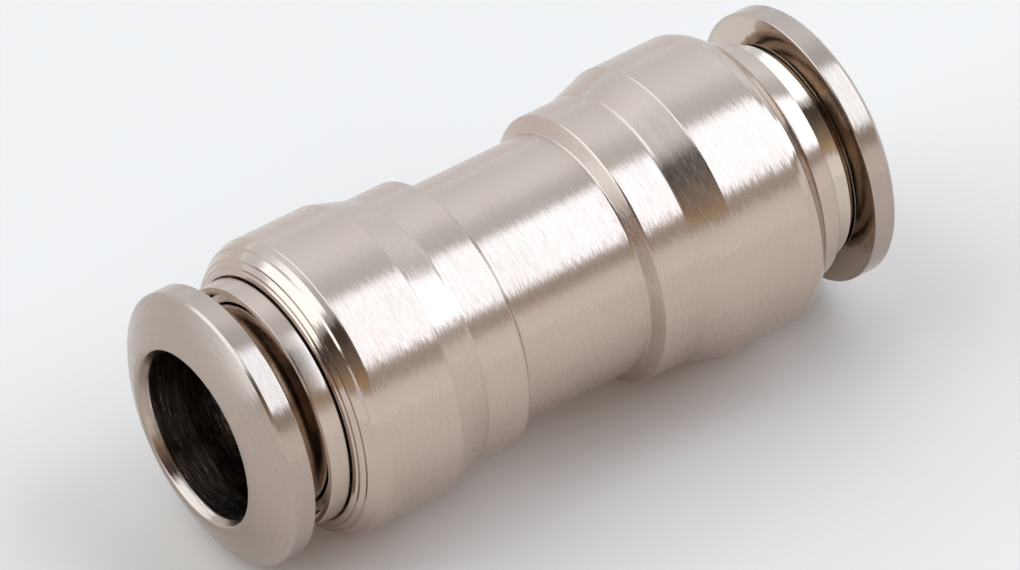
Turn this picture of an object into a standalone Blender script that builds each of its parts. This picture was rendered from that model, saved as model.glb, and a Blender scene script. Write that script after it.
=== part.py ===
"""Push to connect fitting: an all-metal straight union that joins two 8 mm tubes.

The fitting lies along X with its middle at the origin. Every piece is turned, so each one is a
closed outline of (radius, height) points in millimetres, where the height is the distance from
the fitting's middle along its axis. An outline runs down its outer side and back up its bore.
It is swept round Z, and an empty at each end lays that end's pieces along +X or -X.
"""
import math

import bmesh
import bpy
from mathutils import Matrix

MM = 0.001
MERGE_DISTANCE = 1e-7
SIDES = 40

# Driving dimensions, in millimetres: radii, and heights from the middle of the fitting.
TUBE_RADIUS = 4.0
BORE_RADIUS = 4.1
PASSAGE_RADIUS = 3.0
LARGE_RADIUS = 7.2
BAND_RADIUS = 6.6
WAIST_RADIUS = 5.9
FLANGE_RADIUS = 6.65
HALF_LENGTH = 17.5

SHOULDER_BOTTOM = 3.35
SHOULDER_TOP = 3.78
CONE_BOTTOM = 6.1
CONE_TOP = 7.8
NOSE_BOTTOM = 11.65
NOSE_TOP = 13.0
COLLAR_TOP = 14.02
FLANGE_BACK = 15.43

# Gaps between pieces that touch or run on each other.
RUNNING_GAP = 0.06
RESTING_GAP = 0.05

# Inside the body: the tube stop, the seal groove and the bore for the guide collar.
STOP_HEIGHT = 1.0
SEAL_GROOVE_RADIUS = 5.5
SEAL_GROOVE_BOTTOM = 6.5
SEAL_SECTION_RADIUS = 0.8
WASHER_BOTTOM = 8.25
WASHER_TOP = 8.8
COLLAR_BORE_RADIUS = 6.35
COLLAR_BORE_BOTTOM = 8.9
COLLAR_BORE_TOP = 12.38
LIP_RADIUS = 5.95

# The guide collar, slightly narrower towards its top, and the collet that turns in it.
COLLAR_RADIUS = 5.92
COLLAR_TOP_RADIUS = 5.84
COLLAR_GROOVE_RADIUS = 5.7
COLLAR_GUIDE_RADIUS = 5.42
COLLAR_MOUTH_RADIUS = 5.6
COLLAR_RELIEF_RADIUS = 5.85
COLLAR_RELIEF_TOP = 11.3
COLLET_BOTTOM = 10.5
COLLET_RADIUS = COLLAR_GUIDE_RADIUS - RUNNING_GAP
COLLET_TOP = 13.55
COLLET_GUIDE_RADIUS = 4.92
COLLET_RELIEF_RADIUS = 5.12
COLLET_RELIEF_TOP = 12.9

# The release button: its neck widens in a cone, up to a groove behind the flange.
NECK_RADIUS = 4.85
NECK_CONE_RADIUS = 5.3
NECK_CONE_TOP = 15.03
NECK_CONE_ANGLE = math.radians(30)
NECK_GROOVE_RADIUS = 4.95
FLANGE_BACK_ANGLE = math.radians(10.5)
BUTTON_BOTTOM = 10.6
BUTTON_NOSE_RADIUS = 4.35
BUTTON_NOSE_TOP = 11.45
RIM_TOP = 16.5
LAND_INNER_RADIUS = 4.32
LAND_OUTER_RADIUS = 4.62

# The grip ring: a flat rim and teeth that lean 45 degrees towards the middle.
SHEET_THICKNESS = 0.25
GRIP_RIM_BOTTOM = 10.15
GRIP_RIM_RADIUS = 5.72
TOOTH_ROOT_RADIUS = 5.0
TOOTH_TIP_RADIUS = 3.87
TOOTH_COUNT = 12
TOOTH_SLOT_WIDTH = 0.5
TOOTH_SLOT_END_RADIUS = 4.85
SEAT_BOTTOM = 9.0
SEAT_TOP = 10.08
SEAT_RADIUS = 5.78
SEAT_THROAT_RADIUS = 4.45

CHAMFER = 0.08

# Finishes: colour, metallic, roughness.
NICKEL = ((0.72, 0.69, 0.66), 1.0, 0.28)
BRASS = ((0.70, 0.58, 0.34), 1.0, 0.35)
STAINLESS = ((0.60, 0.60, 0.61), 1.0, 0.30)
RUBBER = ((0.02, 0.02, 0.022), 0.0, 0.60)


def clear_scene():
    for item in list(bpy.data.objects):
        bpy.data.objects.remove(item, do_unlink=True)


def new_collection(name):
    collection = bpy.data.collections.new(name)
    bpy.context.scene.collection.children.link(collection)
    return collection


def finish_material(name, finish):
    colour, metallic, roughness = finish
    material = bpy.data.materials.new(name)
    material.use_nodes = True
    shader = material.node_tree.nodes["Principled BSDF"]
    shader.inputs["Base Color"].default_value = (*colour, 1.0)
    shader.inputs["Metallic"].default_value = metallic
    shader.inputs["Roughness"].default_value = roughness
    return material


def bulge(start, end, height, steps):
    """Points after start, up to end, on the arc that stands height off the chord's left side."""
    start_r, start_z = start
    end_r, end_z = end
    chord = math.hypot(end_r - start_r, end_z - start_z)
    radius = chord * chord / (8 * height) + height / 2
    half_angle = math.asin(chord / (2 * radius))
    along = ((end_r - start_r) / chord, (end_z - start_z) / chord)
    left = (-along[1], along[0])
    points = []
    for step in range(1, steps + 1):
        angle = half_angle * (2 * step / steps - 1)
        forward = chord / 2 + radius * math.sin(angle)
        sideways = radius * math.cos(angle) - (radius - height)
        points.append((
            start_r + along[0] * forward + left[0] * sideways,
            start_z + along[1] * forward + left[1] * sideways,
        ))
    return points


def turned(name, outline, finish, collection):
    """A closed outline of (radius, height) points in millimetres, swept round Z."""
    mesh = bpy.data.meshes.new(name)
    points = [(radius * MM, 0.0, height * MM) for radius, height in outline]
    edges = [(index, (index + 1) % len(points)) for index in range(len(points))]
    mesh.from_pydata(points, edges, [])
    piece = bpy.data.objects.new(name, mesh)
    collection.objects.link(piece)
    screw = piece.modifiers.new("Turning", "SCREW")
    screw.axis = "Z"
    screw.angle = math.tau
    screw.steps = SIDES
    screw.render_steps = SIDES
    screw.use_smooth_shade = True
    screw.use_merge_vertices = True
    screw.merge_threshold = MERGE_DISTANCE
    piece.data.materials.append(finish_material(name, finish))
    return piece


def body_outline():
    """The barrel, the same above and below its middle."""
    nose_bulge = 0.2
    edge_round = 0.06
    outer = [(LIP_RADIUS + 0.13, NOSE_TOP)]
    outer += bulge(outer[0], (LARGE_RADIUS, NOSE_BOTTOM), nose_bulge, 5)
    outer += [
        (LARGE_RADIUS, CONE_TOP + 0.1),
        (LARGE_RADIUS - 0.03, CONE_TOP),
        (BAND_RADIUS + 0.07, CONE_BOTTOM + 0.05),
        (BAND_RADIUS, CONE_BOTTOM - 0.1),
        (BAND_RADIUS, SHOULDER_TOP + edge_round),
        (BAND_RADIUS - edge_round, SHOULDER_TOP - 0.6 * edge_round),
        (WAIST_RADIUS + edge_round, SHOULDER_BOTTOM + 0.6 * edge_round),
        (WAIST_RADIUS, SHOULDER_BOTTOM - edge_round),
    ]
    bore = [
        (LIP_RADIUS, NOSE_TOP),
        (LIP_RADIUS, COLLAR_BORE_TOP),
        (COLLAR_BORE_RADIUS, COLLAR_BORE_TOP),
        (COLLAR_BORE_RADIUS, COLLAR_BORE_BOTTOM),
        (SEAL_GROOVE_RADIUS, COLLAR_BORE_BOTTOM),
        (SEAL_GROOVE_RADIUS, SEAL_GROOVE_BOTTOM),
        (BORE_RADIUS, SEAL_GROOVE_BOTTOM),
        (BORE_RADIUS, STOP_HEIGHT),
        (PASSAGE_RADIUS, STOP_HEIGHT),
    ]
    lower_outer = [(radius, -height) for radius, height in reversed(outer)]
    lower_bore = [(radius, -height) for radius, height in bore]
    return outer + lower_outer + lower_bore + bore[::-1]


def guide_collar_outline():
    """A thin sleeve whose foot is held under the body's rolled lip."""
    foot_radius = COLLAR_BORE_RADIUS - RESTING_GAP
    foot_top = COLLAR_BORE_TOP - 0.08
    foot_bottom = COLLAR_BORE_BOTTOM + RESTING_GAP
    ring_bottom = NOSE_TOP + 0.08
    mouth_depth = 0.18
    return [
        (COLLAR_TOP_RADIUS - CHAMFER, COLLAR_TOP),
        (COLLAR_TOP_RADIUS, COLLAR_TOP - CHAMFER),
        (COLLAR_RADIUS, ring_bottom + CHAMFER),
        (COLLAR_RADIUS - CHAMFER, ring_bottom),
        (COLLAR_GROOVE_RADIUS, ring_bottom),
        (COLLAR_GROOVE_RADIUS, foot_top),
        (foot_radius, foot_top),
        (foot_radius, foot_bottom),
        (COLLAR_RELIEF_RADIUS, foot_bottom),
        (COLLAR_RELIEF_RADIUS, COLLAR_RELIEF_TOP),
        (COLLAR_GUIDE_RADIUS, COLLAR_RELIEF_TOP),
        (COLLAR_GUIDE_RADIUS, COLLAR_TOP - mouth_depth),
        (COLLAR_MOUTH_RADIUS, COLLAR_TOP),
    ]


def collet_outline():
    """A sleeve that turns in the guide collar, kept in by its foot."""
    foot_radius = COLLAR_RELIEF_RADIUS - RUNNING_GAP
    foot_top = COLLAR_RELIEF_TOP - RESTING_GAP
    return [
        (COLLET_RADIUS - CHAMFER, COLLET_TOP),
        (COLLET_RADIUS, COLLET_TOP - CHAMFER),
        (COLLET_RADIUS, foot_top),
        (foot_radius, foot_top),
        (foot_radius, COLLET_BOTTOM),
        (COLLET_RELIEF_RADIUS, COLLET_BOTTOM),
        (COLLET_RELIEF_RADIUS, COLLET_RELIEF_TOP),
        (COLLET_GUIDE_RADIUS, COLLET_RELIEF_TOP),
        (COLLET_GUIDE_RADIUS, COLLET_TOP),
    ]


def release_button_outline():
    """A flanged sleeve with a wider foot and a conical nose that opens the teeth."""
    foot_radius = COLLET_RELIEF_RADIUS - RUNNING_GAP
    foot_top = COLLET_RELIEF_TOP - RESTING_GAP
    back_drop = (FLANGE_RADIUS - NECK_GROOVE_RADIUS) * math.tan(FLANGE_BACK_ANGLE)
    cone_length = (NECK_CONE_RADIUS - NECK_RADIUS) / math.tan(NECK_CONE_ANGLE)
    face_edge = (FLANGE_RADIUS - 0.12, RIM_TOP + 0.1)
    outline = [(LAND_OUTER_RADIUS, HALF_LENGTH)]
    outline += bulge(outline[0], face_edge, 0.08, 3)
    outline += [
        (FLANGE_RADIUS, RIM_TOP - 0.03),
        (FLANGE_RADIUS, FLANGE_BACK),
        (NECK_GROOVE_RADIUS, FLANGE_BACK - back_drop),
        (NECK_GROOVE_RADIUS, NECK_CONE_TOP - 0.06),
        (NECK_CONE_RADIUS, NECK_CONE_TOP),
        (NECK_RADIUS, NECK_CONE_TOP - cone_length),
        (NECK_RADIUS, foot_top),
        (foot_radius, foot_top),
        (foot_radius, BUTTON_NOSE_TOP),
        (BUTTON_NOSE_RADIUS, BUTTON_BOTTOM),
        (BORE_RADIUS, BUTTON_BOTTOM),
        (BORE_RADIUS, HALF_LENGTH - 0.45),
        (LAND_INNER_RADIUS, HALF_LENGTH),
    ]
    return outline


def grip_ring_outline():
    """The sheet of the ring: a flat rim that bends down and in to the tooth tips."""
    rim_top = GRIP_RIM_BOTTOM + SHEET_THICKNESS
    slant = SHEET_THICKNESS * math.sqrt(2)
    bend_radius = TOOTH_ROOT_RADIUS + SHEET_THICKNESS - slant
    reach = TOOTH_ROOT_RADIUS - TOOTH_TIP_RADIUS
    return [
        (GRIP_RIM_RADIUS, rim_top),
        (GRIP_RIM_RADIUS, GRIP_RIM_BOTTOM),
        (TOOTH_ROOT_RADIUS, GRIP_RIM_BOTTOM),
        (TOOTH_TIP_RADIUS, GRIP_RIM_BOTTOM - reach),
        (TOOTH_TIP_RADIUS, GRIP_RIM_BOTTOM - reach + slant),
        (bend_radius, rim_top),
    ]


def grip_seat_outline():
    """A ring whose cone leaves the teeth room to open."""
    cone_rise = 0.73
    return [
        (SEAT_RADIUS, SEAT_TOP),
        (SEAT_RADIUS, SEAT_BOTTOM),
        (SEAT_THROAT_RADIUS, SEAT_BOTTOM),
        (SEAT_THROAT_RADIUS, SEAT_TOP - cone_rise),
        (SEAT_THROAT_RADIUS + cone_rise, SEAT_TOP),
    ]


def backup_washer_outline():
    outer_radius = SEAL_GROOVE_RADIUS - 0.08
    inner_radius = BORE_RADIUS + 0.05
    return [
        (outer_radius, WASHER_TOP),
        (outer_radius, WASHER_BOTTOM),
        (inner_radius, WASHER_BOTTOM),
        (inner_radius, WASHER_TOP),
    ]


def seal_ring_outline():
    """A round section that stands 0.15 mm into the tube's way."""
    middle_radius = TUBE_RADIUS - 0.15 + SEAL_SECTION_RADIUS
    middle_height = SEAL_GROOVE_BOTTOM + RESTING_GAP + SEAL_SECTION_RADIUS
    corners = 12
    outline = []
    for corner in range(corners):
        angle = math.tau / 4 - math.tau * corner / corners
        outline.append((
            middle_radius + SEAL_SECTION_RADIUS * math.cos(angle),
            middle_height + SEAL_SECTION_RADIUS * math.sin(angle),
        ))
    return outline


def tooth_slot_cutter(name, collection):
    """One block for each slot between two teeth, all in one object."""
    inner = TOOTH_TIP_RADIUS - 0.4
    size = (TOOTH_SLOT_END_RADIUS - inner, TOOTH_SLOT_WIDTH, 2.0)
    middle = ((TOOTH_SLOT_END_RADIUS + inner) / 2, 0.0, GRIP_RIM_BOTTOM - 0.5)
    scale = Matrix.Diagonal((size[0] * MM, size[1] * MM, size[2] * MM, 1.0))
    place = Matrix.Translation([value * MM for value in middle])
    blocks = bmesh.new()
    for slot in range(TOOTH_COUNT):
        turn = Matrix.Rotation(math.tau * (slot + 0.5) / TOOTH_COUNT, 4, "Z")
        bmesh.ops.create_cube(blocks, size=1.0, matrix=turn @ place @ scale)
    mesh = bpy.data.meshes.new(name)
    blocks.to_mesh(mesh)
    blocks.free()
    cutter = bpy.data.objects.new(name, mesh)
    cutter.hide_render = True
    cutter.display_type = "WIRE"
    collection.objects.link(cutter)
    return cutter


def end_empty(side, direction, collection):
    """An empty that lays its children's Z axis along +X or -X."""
    empty = bpy.data.objects.new(f"{side}_end", None)
    empty.empty_display_size = 0.005
    empty.rotation_euler = (0.0, direction * math.pi / 2, 0.0)
    collection.objects.link(empty)
    return empty


def build_end(side, direction, fitting, cutters):
    """The pieces of one end, from the release button to the seal."""
    end = end_empty(side, direction, fitting)
    pieces = [
        turned(f"{side}_release_button", release_button_outline(), NICKEL, fitting),
        turned(f"{side}_guide_collar", guide_collar_outline(), NICKEL, fitting),
        turned(f"{side}_collet", collet_outline(), NICKEL, fitting),
        turned(f"{side}_grip_seat", grip_seat_outline(), BRASS, fitting),
        turned(f"{side}_backup_washer", backup_washer_outline(), BRASS, fitting),
        turned(f"{side}_seal_ring", seal_ring_outline(), RUBBER, fitting),
    ]
    grip_ring = turned(f"{side}_grip_ring", grip_ring_outline(), STAINLESS, fitting)
    cutter = tooth_slot_cutter(f"{side}_tooth_slots", cutters)
    slots = grip_ring.modifiers.new("Tooth slots", "BOOLEAN")
    slots.operation = "DIFFERENCE"
    slots.solver = "EXACT"
    slots.object = cutter
    for piece in [*pieces, grip_ring, cutter]:
        piece.parent = end


def main():
    clear_scene()
    fitting = new_collection("Push to connect fitting")
    cutters = new_collection("Cutters")
    body = turned("body", body_outline(), NICKEL, fitting)
    body.rotation_euler = (0.0, math.pi / 2, 0.0)
    build_end("left", -1, fitting, cutters)
    build_end("right", 1, fitting, cutters)


main()
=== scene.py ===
"""The looks of the push to connect fitting: finely turned, satin nickel-plated metal.

Every piece is turned round the X axis. Radii are measured from that axis and heights from the
middle of the fitting along it, in millimetres until a mesh is made.
"""
import math

import bmesh
import bpy
from mathutils import Matrix, Quaternion, Vector


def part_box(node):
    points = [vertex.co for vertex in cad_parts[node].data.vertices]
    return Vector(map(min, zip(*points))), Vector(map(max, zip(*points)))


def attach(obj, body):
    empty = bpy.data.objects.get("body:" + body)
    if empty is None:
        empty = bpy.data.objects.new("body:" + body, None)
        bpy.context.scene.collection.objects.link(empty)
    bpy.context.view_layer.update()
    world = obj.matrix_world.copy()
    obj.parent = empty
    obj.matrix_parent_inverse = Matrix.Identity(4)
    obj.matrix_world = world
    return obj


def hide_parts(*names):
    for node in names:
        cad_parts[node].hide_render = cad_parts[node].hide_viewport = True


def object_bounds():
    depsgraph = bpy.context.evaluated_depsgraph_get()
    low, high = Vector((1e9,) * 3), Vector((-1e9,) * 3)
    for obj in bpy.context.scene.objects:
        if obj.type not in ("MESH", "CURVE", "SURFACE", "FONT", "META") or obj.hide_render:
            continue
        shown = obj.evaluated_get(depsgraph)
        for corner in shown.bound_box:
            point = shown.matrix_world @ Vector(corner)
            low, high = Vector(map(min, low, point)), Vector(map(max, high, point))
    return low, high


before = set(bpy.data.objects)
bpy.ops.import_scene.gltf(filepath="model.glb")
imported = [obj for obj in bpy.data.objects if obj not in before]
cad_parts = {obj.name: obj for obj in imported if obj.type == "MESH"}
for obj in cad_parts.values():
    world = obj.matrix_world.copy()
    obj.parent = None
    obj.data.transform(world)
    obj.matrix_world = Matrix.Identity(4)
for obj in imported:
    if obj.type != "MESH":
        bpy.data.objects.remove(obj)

CAD_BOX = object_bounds()
MM = 0.001
SIDES = 192


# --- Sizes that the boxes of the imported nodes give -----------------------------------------
def top_of(node):
    return max(abs(corner.x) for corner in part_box(node)) / MM


def foot_of(node):
    return min(abs(corner.x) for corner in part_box(node)) / MM


def radius_of(node):
    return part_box(node)[1].z / MM


LARGE_RADIUS = radius_of("body")
NOSE_TOP = top_of("body")
COLLAR_TOP = top_of("right_guide_collar")
COLLAR_FOOT = foot_of("right_guide_collar")
COLLAR_FOOT_RADIUS = radius_of("right_guide_collar")
COLLET_TOP = top_of("right_collet")
COLLET_FOOT = foot_of("right_collet")
COLLET_FOOT_RADIUS = radius_of("right_collet")
BUTTON_TOP = top_of("right_release_button")
BUTTON_FOOT = foot_of("right_release_button")
FLANGE_RADIUS = radius_of("right_release_button")
SEAT_TOP = top_of("right_grip_seat")
SEAT_FOOT = foot_of("right_grip_seat")
SEAT_RADIUS = radius_of("right_grip_seat")
WASHER_TOP = top_of("right_backup_washer")
WASHER_FOOT = foot_of("right_backup_washer")
WASHER_RADIUS = radius_of("right_backup_washer")
SEAL_TOP = top_of("right_seal_ring")
SEAL_FOOT = foot_of("right_seal_ring")
SEAL_RADIUS = radius_of("right_seal_ring")
GRIP_TOP = top_of("right_grip_ring")
GRIP_FOOT = foot_of("right_grip_ring")
GRIP_RADIUS = radius_of("right_grip_ring")

# Gaps, radii and heights between those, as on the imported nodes.
NOSE_GAP = 0.08
RUNNING_GAP = 0.06
RESTING_GAP = 0.05
BAND_RADIUS = 6.6
WAIST_RADIUS = 5.9
SHOULDER_FOOT = 3.35
SHOULDER_TOP = 3.78
CONE_FOOT = 6.1
CONE_TOP = 7.8
NOSE_FOOT = 11.65
NOSE_BULGE = 0.2
LIP_RADIUS = 5.95
LIP_WIDTH = 0.13
STOP_HEIGHT = 1.0
PASSAGE_RADIUS = 3.0
BORE_RADIUS = 4.1
SEAL_GROOVE_RADIUS = 5.5
SEAL_GROOVE_FOOT = 6.5
COLLAR_BORE_RADIUS = 6.35
COLLAR_BORE_FOOT = 8.9
COLLAR_BORE_TOP = 12.38
COLLAR_RADIUS = 5.92
COLLAR_TOP_RADIUS = 5.84
COLLAR_GROOVE_RADIUS = 5.7
COLLAR_GUIDE_RADIUS = 5.42
COLLAR_MOUTH_RADIUS = 5.6
COLLAR_MOUTH_DEPTH = 0.18
COLLAR_RELIEF_RADIUS = 5.85
COLLAR_RELIEF_TOP = 11.3
COLLET_RADIUS = COLLAR_GUIDE_RADIUS - RUNNING_GAP
COLLET_GUIDE_RADIUS = 4.92
COLLET_RELIEF_RADIUS = 5.12
COLLET_RELIEF_TOP = 12.9
NECK_RADIUS = 4.85
NECK_CONE_RADIUS = 5.3
NECK_CONE_TOP = 15.03
NECK_CONE_FOOT = 14.25
NECK_GROOVE_RADIUS = 4.95
NECK_GROOVE_TOP = 15.115
FLANGE_BACK = 15.43
RIM_TOP = 16.5
BUTTON_NOSE_RADIUS = 4.35
BUTTON_NOSE_TOP = 11.45
LAND_RADIUS = 4.62
FACE_DOME = 0.08
MOUTH_DEPTH = 0.45
MOUTH_WIDENING = 0.22
SEAT_THROAT_RADIUS = 4.45
SEAT_CONE_RISE = 0.73
SHEET_THICKNESS = 0.25
TOOTH_ROOT_RADIUS = 5.0
TOOTH_TIP_RADIUS = 3.87
TOOTH_COUNT = 12
TOOTH_SLOT_WIDTH = 0.5
TOOTH_SLOT_END_RADIUS = 4.85

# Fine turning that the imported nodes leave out: small roundings, and cones round the nose.
EDGE_ROUND = 0.06
ARC_STEPS = 4
SUPPORT = 0.04
ROOM_SHARE = 0.9
FLATTEST_TURN = math.radians(4)
SHARPEST_SMOOTH_EDGE = math.radians(40)
NOSE_CONES = (  # the heights of a cone's top and bottom, and the depth of the groove below it
    (12.95, 12.87, 0.03),
    (12.84, 12.65, 0.03),
    (12.62, 12.26, 0.0),
)
LEDGE_DEPTH = 0.05
NOSE_STEP = 12.18
NOSE_SHOULDER = NOSE_FOOT + 0.28
COLLAR_STEPS = 8
COLLAR_CURVE = 1.6
SEAL_SIDES = 32
BURR = 0.02

# Finishes: colours as reflectances, then how worn and polished metal differ from them, and the
# painted shade in the bore.
NICKEL_COLOUR = (0.55, 0.445, 0.385)
# Partly painted shade: the release button's own taupe tone, made darker than the body's nickel so
# that its face reads darker.
BUTTON_SHADED_NICKEL_COLOUR = (0.46, 0.375, 0.325)
# Painted reflection: the warm tint of the release button's neck and nose, behind its flange.
PAINTED_RECESS_REFLECTION_COLOUR = (0.62, 0.535, 0.455)
STEEL_COLOUR = (0.50, 0.49, 0.48)
BRASS_COLOUR = (0.62, 0.45, 0.20)
RUBBER_COLOUR = (0.012, 0.012, 0.013)
DUSTY_RUBBER_COLOUR = (0.035, 0.034, 0.033)
CARD_COLOUR = (0.785, 0.715, 0.668)
CARD_FIBRE_COLOUR = (0.805, 0.735, 0.688)
WEAR = (0.95, 0.935, 0.915)
# Painted shade: the bore is painted dark at this share of the metal's colour, with streaks at the
# next share of it.
BORE_PAINTED_SHADE = 0.45
BORE_STREAK = 1.2
BORE_EDGE_RADIUS = BORE_RADIUS + 0.06
POLISHED = 0.5
HAIR_SWAY = 0.06
STEP_HALF_WIDTH = 0.04


# --- Outlines ------------------------------------------------------------------------------
def rounded(corners):
    """Turns (radius, height[, rounding]) corners into a closed outline with small arcs.

    A support point beside each arc keeps the long faces between two arcs flat in shading.
    """
    outline = []
    for index, corner in enumerate(corners):
        here = Vector(corner[:2])
        size = corner[2] if len(corner) > 2 else EDGE_ROUND
        before = Vector(corners[index - 1][:2]) - here
        after = Vector(corners[(index + 1) % len(corners)][:2]) - here
        room_before = before.length / 2
        room_after = after.length / 2
        before.normalize()
        after.normalize()
        turn = math.pi - before.angle(after)
        if size == 0 or turn < FLATTEST_TURN:
            outline.append(here)
            continue
        room = ROOM_SHARE * min(room_before, room_after)
        tangent = min(size * math.tan(turn / 2), room)
        radius = tangent / math.tan(turn / 2)
        centre = here + (before + after).normalized() * radius / math.cos(turn / 2)
        start = here + before * tangent
        end = here + after * tangent
        first = math.atan2(start.y - centre.y, start.x - centre.x)
        last = math.atan2(end.y - centre.y, end.x - centre.x)
        sweep = (last - first + math.pi) % math.tau - math.pi
        if room_before > tangent + SUPPORT:
            outline.append(start + before * SUPPORT)
        for step in range(ARC_STEPS + 1):
            angle = first + sweep * step / ARC_STEPS
            outline.append(centre + radius * Vector((math.cos(angle), math.sin(angle))))
        if room_after > tangent + SUPPORT:
            outline.append(end + after * SUPPORT)
    return outline


def arc_point(start, end, height, share):
    """The point a share of the way along the arc that stands height left of its chord."""
    start, end = Vector(start), Vector(end)
    chord = (end - start).length
    radius = chord * chord / (8 * height) + height / 2
    along = (end - start) / chord
    left = Vector((-along.y, along.x))
    angle = math.asin(chord / (2 * radius)) * (2 * share - 1)
    forward = chord / 2 + radius * math.sin(angle)
    return start + along * forward + left * (radius * math.cos(angle) - radius + height)


def nose_radius(height):
    """The radius of the nose's rounded outline at a height."""
    foot = Vector((LIP_RADIUS + LIP_WIDTH, NOSE_TOP))
    shoulder = Vector((LARGE_RADIUS, NOSE_FOOT))
    chord = (shoulder - foot).length
    arc_radius = chord * chord / (8 * NOSE_BULGE) + NOSE_BULGE / 2
    middle = (foot + shoulder) / 2
    along = (shoulder - foot) / chord
    centre = middle - Vector((-along.y, along.x)) * (arc_radius - NOSE_BULGE)
    return centre.x + math.sqrt(arc_radius ** 2 - (height - centre.y) ** 2)


def nose_corners():
    """The rolled nose, down to the large band: cones with ledges and fine grooves between."""
    corners = [(LIP_RADIUS + 0.09, NOSE_TOP, 0.03)]
    for top, bottom, groove_depth in NOSE_CONES:
        bottom_radius = nose_radius(bottom) - LEDGE_DEPTH
        corners.append((nose_radius(top), top, 0.02))
        corners.append((bottom_radius, bottom, 0.02))
        if groove_depth:
            corners.append((bottom_radius - groove_depth, bottom - 0.01, 0.01))
    corners += [
        (nose_radius(NOSE_STEP) + 0.01, NOSE_STEP, 0.03),
        (nose_radius(NOSE_SHOULDER), NOSE_SHOULDER, 0.04),
        (LARGE_RADIUS - 0.03, NOSE_FOOT + 0.06, 0.02),
        (LARGE_RADIUS - 0.025, NOSE_FOOT + 0.03, 0.02),
        (LARGE_RADIUS, NOSE_FOOT, 0.03),
    ]
    return corners


def body_corners():
    """The barrel, the same above and below its middle."""
    outer = nose_corners()
    outer += [
        (LARGE_RADIUS, CONE_TOP + 0.04, 0.05),
        (LARGE_RADIUS - 0.03, CONE_TOP, 0.05),
        (BAND_RADIUS + 0.07, CONE_FOOT + 0.05, 0.3),
        (BAND_RADIUS, CONE_FOOT - 0.1, 0.3),
        (BAND_RADIUS, SHOULDER_TOP, 0.12),
        (WAIST_RADIUS, SHOULDER_FOOT, 0.1),
    ]
    bore = [
        (LIP_RADIUS, NOSE_TOP, 0.04),
        (LIP_RADIUS, COLLAR_BORE_TOP),
        (COLLAR_BORE_RADIUS, COLLAR_BORE_TOP),
        (COLLAR_BORE_RADIUS, COLLAR_BORE_FOOT),
        (SEAL_GROOVE_RADIUS, COLLAR_BORE_FOOT),
        (SEAL_GROOVE_RADIUS, SEAL_GROOVE_FOOT),
        (BORE_RADIUS, SEAL_GROOVE_FOOT),
        (BORE_RADIUS, STOP_HEIGHT),
        (PASSAGE_RADIUS, STOP_HEIGHT),
    ]
    lower_outer = [(corner[0], -corner[1], *corner[2:]) for corner in reversed(outer)]
    lower_bore = [(corner[0], -corner[1], *corner[2:]) for corner in bore]
    return outer + lower_outer + lower_bore + bore[::-1]


def guide_collar_corners():
    """A slightly barrel-shaped ring above a narrower sleeve and a wide foot."""
    ring_foot = NOSE_TOP + NOSE_GAP
    foot_top = COLLAR_BORE_TOP - NOSE_GAP
    narrowing = COLLAR_RADIUS - COLLAR_TOP_RADIUS
    corners = [(COLLAR_TOP_RADIUS, COLLAR_TOP, 0.04)]
    for step in range(1, COLLAR_STEPS):
        share = step / COLLAR_STEPS
        radius = COLLAR_RADIUS - narrowing * (1 - share) ** COLLAR_CURVE
        corners.append((radius, COLLAR_TOP + (ring_foot - COLLAR_TOP) * share, 0))
    corners += [
        (COLLAR_RADIUS, ring_foot, 0.03),
        (COLLAR_GROOVE_RADIUS, ring_foot, 0.03),
        (COLLAR_GROOVE_RADIUS, foot_top, 0.03),
        (COLLAR_FOOT_RADIUS, foot_top),
        (COLLAR_FOOT_RADIUS, COLLAR_FOOT),
        (COLLAR_RELIEF_RADIUS, COLLAR_FOOT),
        (COLLAR_RELIEF_RADIUS, COLLAR_RELIEF_TOP),
        (COLLAR_GUIDE_RADIUS, COLLAR_RELIEF_TOP, 0.03),
        (COLLAR_GUIDE_RADIUS, COLLAR_TOP - COLLAR_MOUTH_DEPTH, 0.04),
        (COLLAR_MOUTH_RADIUS, COLLAR_TOP, 0.03),
    ]
    return corners


def collet_corners():
    """A sleeve with a wide foot, thin enough below for the button's foot."""
    foot_top = COLLAR_RELIEF_TOP - RESTING_GAP
    return [
        (COLLET_RADIUS, COLLET_TOP, 0.09),
        (COLLET_RADIUS, foot_top, 0.03),
        (COLLET_FOOT_RADIUS, foot_top, 0.03),
        (COLLET_FOOT_RADIUS, COLLET_FOOT, 0.03),
        (COLLET_RELIEF_RADIUS, COLLET_FOOT, 0.03),
        (COLLET_RELIEF_RADIUS, COLLET_RELIEF_TOP, 0.03),
        (COLLET_GUIDE_RADIUS, COLLET_RELIEF_TOP, 0.03),
        (COLLET_GUIDE_RADIUS, COLLET_TOP, 0.06),
    ]


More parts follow.
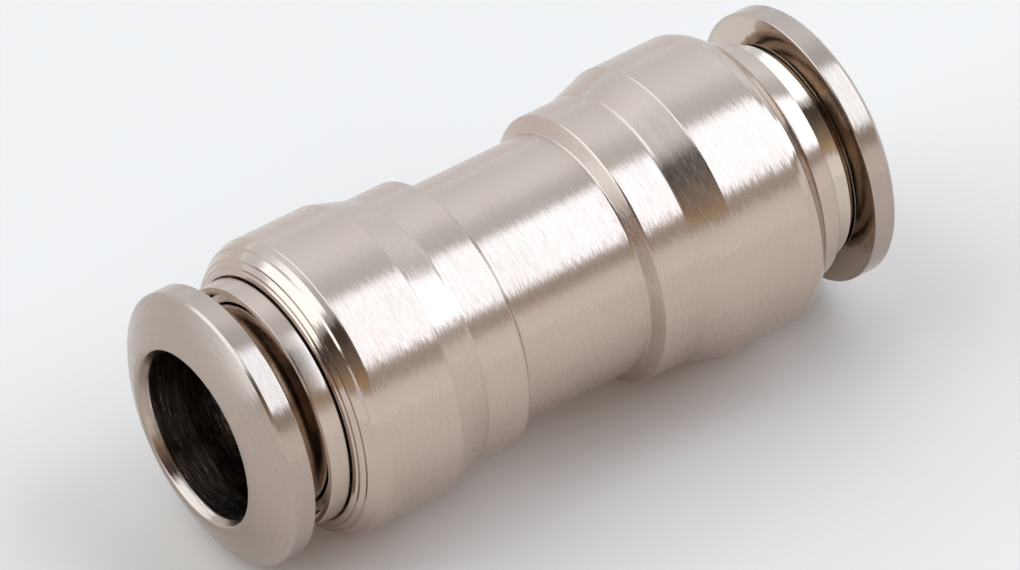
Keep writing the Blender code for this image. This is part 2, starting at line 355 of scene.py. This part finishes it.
def release_button_corners():
    """A flanged sleeve: a domed face, a rounded mouth, a coned neck and a conical nose."""
    land = (LAND_RADIUS, BUTTON_TOP)
    face_edge = (FLANGE_RADIUS - 0.1, RIM_TOP + 0.06)
    face_steps = 6
    foot_radius = COLLET_RELIEF_RADIUS - RUNNING_GAP
    foot_top = COLLET_RELIEF_TOP - RESTING_GAP
    corners = [(*land, 0.12)]
    for step in range(1, face_steps):
        point = arc_point(land, face_edge, FACE_DOME, step / face_steps)
        corners.append((point.x, point.y, 0))
    corners += [
        (*face_edge, 0.04),
        (FLANGE_RADIUS, RIM_TOP - 0.06, 0.04),
        (FLANGE_RADIUS, FLANGE_BACK, 0.06),
        (NECK_GROOVE_RADIUS, NECK_GROOVE_TOP, 0.03),
        (NECK_GROOVE_RADIUS, NECK_CONE_TOP - 0.06, 0.03),
        (NECK_CONE_RADIUS, NECK_CONE_TOP, 0.02),
        (NECK_RADIUS, NECK_CONE_FOOT, 1.5),
        (NECK_RADIUS, foot_top, 0.03),
        (foot_radius, foot_top, 0.03),
        (foot_radius, BUTTON_NOSE_TOP, 0.1),
        (BUTTON_NOSE_RADIUS, BUTTON_FOOT, 0.08),
        (BORE_RADIUS, BUTTON_FOOT, 0.08),
        (BORE_RADIUS, BUTTON_TOP - MOUTH_DEPTH, 0.25),
        (BORE_RADIUS + MOUTH_WIDENING, BUTTON_TOP, 0.15),
    ]
    return corners


def grip_ring_corners():
    """The sheet of the ring: a flat rim that bends down and in to the tooth tips."""
    rim_foot = GRIP_TOP - SHEET_THICKNESS
    slant = SHEET_THICKNESS * math.sqrt(2)
    return [
        (GRIP_RADIUS, GRIP_TOP),
        (GRIP_RADIUS, rim_foot),
        (TOOTH_ROOT_RADIUS, rim_foot, 0.2),
        (TOOTH_TIP_RADIUS, GRIP_FOOT, 0.02),
        (TOOTH_TIP_RADIUS, GRIP_FOOT + slant, 0.02),
        (TOOTH_ROOT_RADIUS + SHEET_THICKNESS - slant, GRIP_TOP, 0.2),
    ]


def grip_seat_corners():
    """A ring whose cone leaves the teeth room to open."""
    return [
        (SEAT_RADIUS, SEAT_TOP),
        (SEAT_RADIUS, SEAT_FOOT),
        (SEAT_THROAT_RADIUS, SEAT_FOOT),
        (SEAT_THROAT_RADIUS, SEAT_TOP - SEAT_CONE_RISE),
        (SEAT_THROAT_RADIUS + SEAT_CONE_RISE, SEAT_TOP),
    ]


def backup_washer_corners():
    inner_radius = BORE_RADIUS + RESTING_GAP
    return [
        (WASHER_RADIUS, WASHER_TOP),
        (WASHER_RADIUS, WASHER_FOOT),
        (inner_radius, WASHER_FOOT),
        (inner_radius, WASHER_TOP),
    ]


def seal_ring_corners():
    """A round section."""
    section_radius = (SEAL_TOP - SEAL_FOOT) / 2
    middle_height = SEAL_FOOT + section_radius
    middle_radius = SEAL_RADIUS - section_radius
    corners = []
    for step in range(SEAL_SIDES):
        angle = math.tau / 4 - math.tau * step / SEAL_SIDES
        radius = middle_radius + section_radius * math.cos(angle)
        height = middle_height + section_radius * math.sin(angle)
        corners.append((radius, height, 0))
    return corners


# --- Meshes --------------------------------------------------------------------------------
def turned(name, corners, direction):
    """Sweeps an outline round X; direction +1 lays its top towards +X, and -1 towards -X."""
    outline = rounded(corners)
    mesh_code = bmesh.new()
    rings = []
    for side in range(SIDES):
        angle = math.tau * side / SIDES
        ring = []
        for radius, height in outline:
            place = Vector((direction * height, radius * math.cos(angle), radius * math.sin(angle)))
            ring.append(mesh_code.verts.new(place * MM))
        rings.append(ring)
    for side, ring in enumerate(rings):
        next_ring = rings[(side + 1) % SIDES]
        for index in range(len(ring)):
            after = (index + 1) % len(ring)
            mesh_code.faces.new((ring[index], ring[after], next_ring[after], next_ring[index]))
    bmesh.ops.recalc_face_normals(mesh_code, faces=mesh_code.faces)
    mesh = bpy.data.meshes.new(name)
    mesh_code.to_mesh(mesh)
    mesh_code.free()
    mesh.shade_smooth()
    mesh.set_sharp_from_angle(angle=SHARPEST_SMOOTH_EDGE)
    piece = bpy.data.objects.new(name, mesh)
    bpy.context.scene.collection.objects.link(piece)
    return piece


def cut_tooth_slots(grip_ring, direction):
    """Cuts the slots between the teeth, then takes the burr off their edges."""
    depth = 2.0
    inner = TOOTH_TIP_RADIUS - 0.4
    size = Vector((depth, TOOTH_SLOT_END_RADIUS - inner, TOOTH_SLOT_WIDTH)) * MM
    middle = Vector((direction * (GRIP_FOOT + 0.5), (TOOTH_SLOT_END_RADIUS + inner) / 2, 0)) * MM
    blocks = bmesh.new()
    for slot in range(TOOTH_COUNT):
        turn = Matrix.Rotation(math.tau * (slot + 0.5) / TOOTH_COUNT, 4, "X")
        place = turn @ Matrix.Translation(middle) @ Matrix.Diagonal((*size, 1.0))
        bmesh.ops.create_cube(blocks, size=1.0, matrix=place)
    mesh = bpy.data.meshes.new("tooth_slots")
    blocks.to_mesh(mesh)
    blocks.free()
    cutter = bpy.data.objects.new("tooth_slots", mesh)
    bpy.context.scene.collection.objects.link(cutter)
    slots = grip_ring.modifiers.new("Tooth slots", "BOOLEAN")
    slots.operation = "DIFFERENCE"
    slots.solver = "EXACT"
    slots.object = cutter
    burr = grip_ring.modifiers.new("Burr", "BEVEL")
    burr.width = BURR * MM
    burr.segments = 2
    burr.limit_method = "ANGLE"
    burr.angle_limit = math.radians(50)
    depsgraph = bpy.context.evaluated_depsgraph_get()
    cut_mesh = bpy.data.meshes.new_from_object(grip_ring.evaluated_get(depsgraph))
    grip_ring.modifiers.clear()
    grip_ring.data = cut_mesh
    bpy.data.objects.remove(cutter)


# --- Materials -----------------------------------------------------------------------------
class Nodes:
    """A node tree, with short calls to add and link its nodes."""

    def __init__(self, tree):
        self.tree = tree

    def add(self, kind, **inputs):
        """A new node; each input is a number, a colour or another node's output."""
        node = self.tree.nodes.new(kind)
        for name, value in inputs.items():
            self.put(node.inputs[name.replace("_", " ")], value)
        return node

    def put(self, socket, value):
        if isinstance(value, bpy.types.NodeSocket):
            self.tree.links.new(value, socket)
        else:
            socket.default_value = value

    def maths(self, operation, first, second=0.0):
        node = self.tree.nodes.new("ShaderNodeMath")
        node.operation = operation
        self.put(node.inputs[0], first)
        self.put(node.inputs[1], second)
        return node.outputs[0]

    def remap(self, value, low, high, new_low, new_high):
        node = self.add(
            "ShaderNodeMapRange",
            Value=value,
            From_Min=low,
            From_Max=high,
            To_Min=new_low,
            To_Max=new_high,
        )
        return node.outputs["Result"]

    def blend_colours(self, share, first, second):
        """The first colour where share is 0 and the second where it is 1."""
        node = self.tree.nodes.new("ShaderNodeMix")
        node.data_type = "RGBA"
        self.put(node.inputs[0], share)
        for socket, colour in ((node.inputs[6], first), (node.inputs[7], second)):
            self.put(socket, (*colour, 1.0) if isinstance(colour, tuple) else colour)
        return node.outputs[2]

    def vector_maths(self, operation, first, second=None, scale=None):
        node = self.tree.nodes.new("ShaderNodeVectorMath")
        node.operation = operation
        self.put(node.inputs[0], first)
        if second is not None:
            self.put(node.inputs[1], second)
        if scale is not None:
            self.put(node.inputs["Scale"], scale)
        return node


class Shader(Nodes):
    """A material, with short calls for what turned metal needs."""

    def __init__(self, name):
        self.material = bpy.data.materials.new(name)
        self.material.use_nodes = True
        super().__init__(self.material.node_tree)
        self.surface = self.tree.nodes["Principled BSDF"]
        self.place = self.add("ShaderNodeTexCoord").outputs["Object"]

    def turning_noise(self, along, around, detail=2.0, seed=0.0):
        """Noise with so many features per millimetre along the axis and around it."""
        scale = self.add("ShaderNodeMapping", Vector=self.place)
        scale.inputs["Scale"].default_value = (along / MM, around / MM, around / MM)
        scale.inputs["Location"].default_value = (seed, seed, seed)
        noise = self.add("ShaderNodeTexNoise", Vector=scale.outputs[0], Scale=1.0, Detail=detail)
        return noise.outputs["Fac"]

    def step(self, value, edge_mm, before, after):
        """Goes from one number to another over a narrow strip at an edge."""
        low = (edge_mm - STEP_HALF_WIDTH) * MM
        high = (edge_mm + STEP_HALF_WIDTH) * MM
        return self.remap(value, low, high, before, after)

    def bump(self, height, distance_mm):
        node = self.add("ShaderNodeBump", Height=height, Strength=1.0, Distance=distance_mm * MM)
        return node.outputs[0]


def scaled(colour, factors):
    return tuple(value * factor for value, factor in zip(colour, factors))


def turned_metal(name, colour, roughness, line_depth, polished_from=None, painted_reflection_top=None):
    """Metal off a lathe: fine rings, short hairs along them and a slow colour drift.

    The hairs lean to and fro round the axis, which frays the edges of a highlight.
    Heights over polished_from are smoother. So are those under the last argument's height, which
    also get a warm tint: a painted reflection of the gap behind the flange. The bore is painted
    darker, as painted shade, with lighter streaks.
    """
    shader = Shader(name)
    rings = shader.turning_noise(20.0, 0.2, 3.0)
    hairs = shader.turning_noise(20.0, 1.7, 2.0, seed=9.1)
    specks = shader.turning_noise(9.0, 4.0, 2.0, seed=1.7)
    clouds = shader.turning_noise(0.35, 0.3, 2.0, seed=5.3)
    lines = shader.maths("MULTIPLY", rings, 0.5)
    strands = shader.maths("MULTIPLY", hairs, 0.5)
    grain = shader.maths("ADD", lines, strands)
    along = shader.vector_maths("DOT_PRODUCT", shader.place, (1.0, 0.0, 0.0)).outputs["Value"]
    height = shader.maths("ABSOLUTE", along)
    off_axis = shader.vector_maths("MULTIPLY", shader.place, (0.0, 1.0, 1.0)).outputs["Vector"]
    radius = shader.vector_maths("LENGTH", off_axis).outputs["Value"]

    worn_share = shader.remap(shader.maths("ADD", grain, clouds), 0.7, 1.3, 0.0, 1.0)
    surface_colour = shader.blend_colours(worn_share, colour, scaled(colour, WEAR))
    rough = shader.remap(grain, 0.35, 0.65, roughness * 0.75, roughness * 1.3)
    rough = shader.maths("ADD", rough, shader.remap(specks, 0.3, 0.7, -0.02, 0.02))
    if polished_from:
        polish = shader.step(height, polished_from, 1.0, POLISHED)
        rough = shader.maths("MULTIPLY", rough, polish)
    # Painted reflection: under this height the colour turns to a warm tint, standing for the
    # reflection in the gap behind the flange.
    if painted_reflection_top:
        painted_reflection_share = shader.step(height, painted_reflection_top, 1.0, 0.0)
        surface_colour = shader.blend_colours(painted_reflection_share, surface_colour, PAINTED_RECESS_REFLECTION_COLOUR)
        polish = shader.step(height, painted_reflection_top, POLISHED, 1.0)
        rough = shader.maths("MULTIPLY", rough, polish)
    # Painted shade: inside the bore the colour is darkened, broken by lighter streaks.
    streaks = shader.turning_noise(14.0, 0.8, 3.0, seed=3.3)
    streak_share = shader.remap(streaks, 0.45, 0.62, 0.0, 1.0)
    painted_bore_shade = scaled(colour, [BORE_PAINTED_SHADE] * 3)
    bright = scaled(colour, [BORE_STREAK] * 3)
    painted_bore_colour = shader.blend_colours(streak_share, painted_bore_shade, bright)
    outside = shader.step(radius, BORE_EDGE_RADIUS, 0.0, 1.0)
    surface_colour = shader.blend_colours(outside, painted_bore_colour, surface_colour)

    tangent = shader.tree.nodes.new("ShaderNodeTangent")
    tangent.direction_type = "RADIAL"
    tangent.axis = "X"
    lean = shader.remap(hairs, 0.0, 1.0, -HAIR_SWAY, HAIR_SWAY)
    leaning = shader.vector_maths("SCALE", tangent.outputs[0], scale=lean).outputs["Vector"]
    normal = shader.vector_maths("ADD", shader.bump(grain, line_depth), leaning).outputs["Vector"]
    unit_normal = shader.vector_maths("NORMALIZE", normal).outputs["Vector"]

    inputs = shader.surface.inputs
    inputs["Metallic"].default_value = 1.0
    inputs["Anisotropic"].default_value = 0.7
    inputs["Anisotropic Rotation"].default_value = 0.25
    shader.put(inputs["Base Color"], surface_colour)
    shader.put(inputs["Roughness"], rough)
    shader.put(inputs["Tangent"], tangent.outputs[0])
    shader.put(inputs["Normal"], unit_normal)
    return shader.material


def nitrile_rubber(name):
    """Black rubber with a fine grain and dull, dusty patches."""
    shader = Shader(name)
    grain = shader.turning_noise(9.0, 9.0, 4.0)
    dust = shader.turning_noise(2.0, 2.0, 3.0, seed=2.2)
    shader.put(shader.surface.inputs["Roughness"], shader.remap(dust, 0.3, 0.7, 0.38, 0.62))
    colour = shader.blend_colours(dust, RUBBER_COLOUR, DUSTY_RUBBER_COLOUR)
    shader.put(shader.surface.inputs["Base Color"], colour)
    shader.put(shader.surface.inputs["Normal"], shader.bump(grain, 0.004))
    return shader.material


# The material of each of the record's slots.
MATERIALS = {
    "body": turned_metal(
        "nickel_body", NICKEL_COLOUR, 0.23, 0.0008, polished_from=NOSE_FOOT + 0.05
    ),
    "guide_collar": turned_metal("nickel_collar", NICKEL_COLOUR, 0.2, 0.0008),
    "collet": turned_metal("nickel_collet", NICKEL_COLOUR, 0.2, 0.0008),
    # Its neck and nose, under the flange's back, get a painted warm reflection.
    "release_button": turned_metal(
        "nickel_button", BUTTON_SHADED_NICKEL_COLOUR, 0.21, 0.0007, painted_reflection_top=FLANGE_BACK
    ),
    "grip_ring": turned_metal("spring_steel", STEEL_COLOUR, 0.20, 0.0008),
    "grip_seat": turned_metal("brass_seat", BRASS_COLOUR, 0.30, 0.0015),
    "backup_washer": turned_metal("brass_washer", BRASS_COLOUR, 0.30, 0.0015),
    "seal_ring": nitrile_rubber("nitrile"),
}


# --- The pieces ----------------------------------------------------------------------------
# For each slot of one end's pieces: the outline, and the body that the piece rides on.
END_PIECES = {
    "guide_collar": (guide_collar_corners, "housing"),
    "collet": (collet_corners, "{side}_collet"),
    "release_button": (release_button_corners, "{side}_button"),
    "grip_ring": (grip_ring_corners, "{side}_collet"),
    "grip_seat": (grip_seat_corners, "housing"),
    "backup_washer": (backup_washer_corners, "housing"),
    "seal_ring": (seal_ring_corners, "housing"),
}


def place_piece(piece, node, slot, body):
    piece.data.materials.clear()
    piece.data.materials.append(MATERIALS[slot])
    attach(piece, body)
    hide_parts(node)


def build_body():
    piece = turned("turned_body", body_corners(), 1)
    place_piece(piece, "body", "body", "housing")


def build_end(side, direction):
    for slot, (corners, body) in END_PIECES.items():
        node = f"{side}_{slot}"
        piece = turned(f"turned_{node}", corners(), direction)
        if slot == "grip_ring":
            cut_tooth_slots(piece, direction)
        place_piece(piece, node, slot, body.format(side=side))


build_body()
build_end("left", -1)
build_end("right", 1)


# --- Floor, light and camera ---------------------------------------------------------------
def build_floor():
    """A pale card under the fitting, much wider than any view of it."""
    half_width = 1.5
    lowest = CAD_BOX[0][2]
    cells = bmesh.new()
    bmesh.ops.create_grid(cells, x_segments=8, y_segments=8, size=half_width)
    bmesh.ops.translate(cells, vec=(0, 0, lowest), verts=cells.verts)
    mesh = bpy.data.meshes.new("floor")
    cells.to_mesh(mesh)
    cells.free()
    floor = bpy.data.objects.new("floor", mesh)
    bpy.context.scene.collection.objects.link(floor)
    shader = Shader("pale_card")
    fibres = shader.turning_noise(0.08, 0.08, 3.0)
    colour = shader.blend_colours(fibres, CARD_COLOUR, CARD_FIBRE_COLOUR)
    shader.put(shader.surface.inputs["Base Color"], colour)
    shader.surface.inputs["Roughness"].default_value = 0.9
    shader.surface.inputs["Specular IOR Level"].default_value = 0.1
    mesh.materials.append(shader.material)


# The light of the studio, by the angle from the back wall (0) over the top (90) to the front
# wall (180), in degrees.
WALLS = (
    (0, (1.10, 1.20, 1.30)),
    (11, (0.94, 1.03, 1.11)),
    (30, (1.04, 1.14, 1.23)),
    (48, (1.15, 1.28, 1.38)),
    (58, (1.08, 1.20, 1.30)),
    (68, (0.86, 0.95, 1.02)),
    (92, (0.66, 0.70, 0.74)),
    (142, (0.50, 0.47, 0.44)),
    (154, (0.52, 0.49, 0.46)),
    (161, (0.98, 0.98, 1.00)),
    (180, (1.05, 1.05, 1.05)),
    (360, (0.95, 0.95, 0.95)),
)
# What shows between the walls round the camera, by the same angle.
DARK_ROOM = (
    (0, (0.09, 0.075, 0.065)),
    (112, (0.09, 0.075, 0.065)),
    (122, (0.16, 0.13, 0.11)),
    (138, (0.32, 0.25, 0.19)),
    (150, (0.54, 0.42, 0.26)),
    (360, (0.54, 0.42, 0.28)),
)
RIGHT_SOFTBOX = (2.38, 2.80, 3.25)
LEFT_SOFTBOX = (2.00, 2.30, 2.50)
BRIGHTEST = 4.0
BACKDROP = (0.885, 0.91, 0.935)


def build_studio():
    """A white tent, open to a dark room round the camera, with a softbox over each half."""
    world = bpy.data.worlds.new("studio")
    bpy.context.scene.world = world
    world.use_nodes = True
    nodes = Nodes(world.node_tree)

    def dimmed(light):
        """A light as a share of the brightest one, because a ramp's colours end at 1."""
        return scaled(light, [1 / BRIGHTEST] * 3)

    def ramp(share, bands):
        node = nodes.add("ShaderNodeValToRGB", Fac=share)
        stops = node.color_ramp.elements
        for _ in bands[2:]:
            stops.new(1.0)
        for stop, (degrees, light) in zip(stops, bands):
            stop.position = degrees / 360
            stop.color = (*dimmed(light), 1.0)
        return node.outputs[0]

    def fade(value, low, high):
        """0 at low and 1 at high; low may be the greater."""
        node = nodes.add("ShaderNodeMapRange", Value=value, From_Min=low, From_Max=high)
        node.interpolation_type = "SMOOTHSTEP"
        return node.outputs["Result"]

    direction = nodes.add("ShaderNodeTexCoord").outputs["Generated"]
    parts = nodes.add("ShaderNodeSeparateXYZ", Vector=direction)
    across = parts.outputs["X"]
    angle = nodes.maths("ARCTAN2", parts.outputs["Z"], parts.outputs["Y"])
    overhead = nodes.maths("FRACT", nodes.maths("DIVIDE", angle, math.tau))

    def between(rise_start, rise_end, fall_start, fall_end):
        """1 between two angles in degrees, fading at both."""
        rise = fade(overhead, rise_start / 360, rise_end / 360)
        fall = fade(overhead, fall_end / 360, fall_start / 360)
        return nodes.maths("MULTIPLY", rise, fall)

    room = nodes.maths("MULTIPLY", between(96, 104, 149, 157), fade(across, 0.42, 0.18))
    right_box = nodes.maths("MULTIPLY", between(81, 90, 137, 144), fade(across, 0.20, 0.38))
    left_box = nodes.maths("MULTIPLY", between(18, 28, 86, 96), fade(across, -0.12, -0.26))
    light = nodes.blend_colours(room, ramp(overhead, WALLS), ramp(overhead, DARK_ROOM))
    light = nodes.blend_colours(right_box, light, dimmed(RIGHT_SOFTBOX))
    light = nodes.blend_colours(left_box, light, dimmed(LEFT_SOFTBOX))
    studio = nodes.tree.nodes["Background"]
    nodes.put(studio.inputs["Color"], light)
    studio.inputs["Strength"].default_value = BRIGHTEST

    # The softboxes stay out of sight: what stands behind the fitting is a plain backdrop.
    backdrop = nodes.add("ShaderNodeBackground", Color=(*BACKDROP, 1.0))
    seen_or_lit = nodes.add("ShaderNodeMixShader")
    nodes.put(seen_or_lit.inputs[0], nodes.add("ShaderNodeLightPath").outputs["Is Camera Ray"])
    nodes.put(seen_or_lit.inputs[1], studio.outputs[0])
    nodes.put(seen_or_lit.inputs[2], backdrop.outputs[0])
    nodes.put(nodes.tree.nodes["World Output"].inputs["Surface"], seen_or_lit.outputs[0])


def build_camera():
    """Looks down at the fitting from the left of its front, from just over half a metre."""
    azimuth = math.radians(-35.3)
    elevation = math.radians(43.1)
    distance = 0.545
    level = math.cos(elevation)
    away = Vector((math.sin(azimuth) * level, -math.cos(azimuth) * level, math.sin(elevation)))
    data = bpy.data.cameras.new("camera")
    data.sensor_width = 36.0
    data.lens = 427.0
    data.shift_x = -0.0031
    data.shift_y = -0.0024
    data.clip_start = 0.01
    data.clip_end = 10.0
    camera = bpy.data.objects.new("camera", data)
    camera.location = away * distance
    roll = Quaternion((0, 0, 1), math.radians(-0.2))
    camera.rotation_euler = (away.to_track_quat("Z", "Y") @ roll).to_euler()
    bpy.context.scene.collection.objects.link(camera)
    bpy.context.scene.camera = camera


build_floor()
build_studio()
build_camera()
bpy.context.scene.view_settings.view_transform = "Standard"
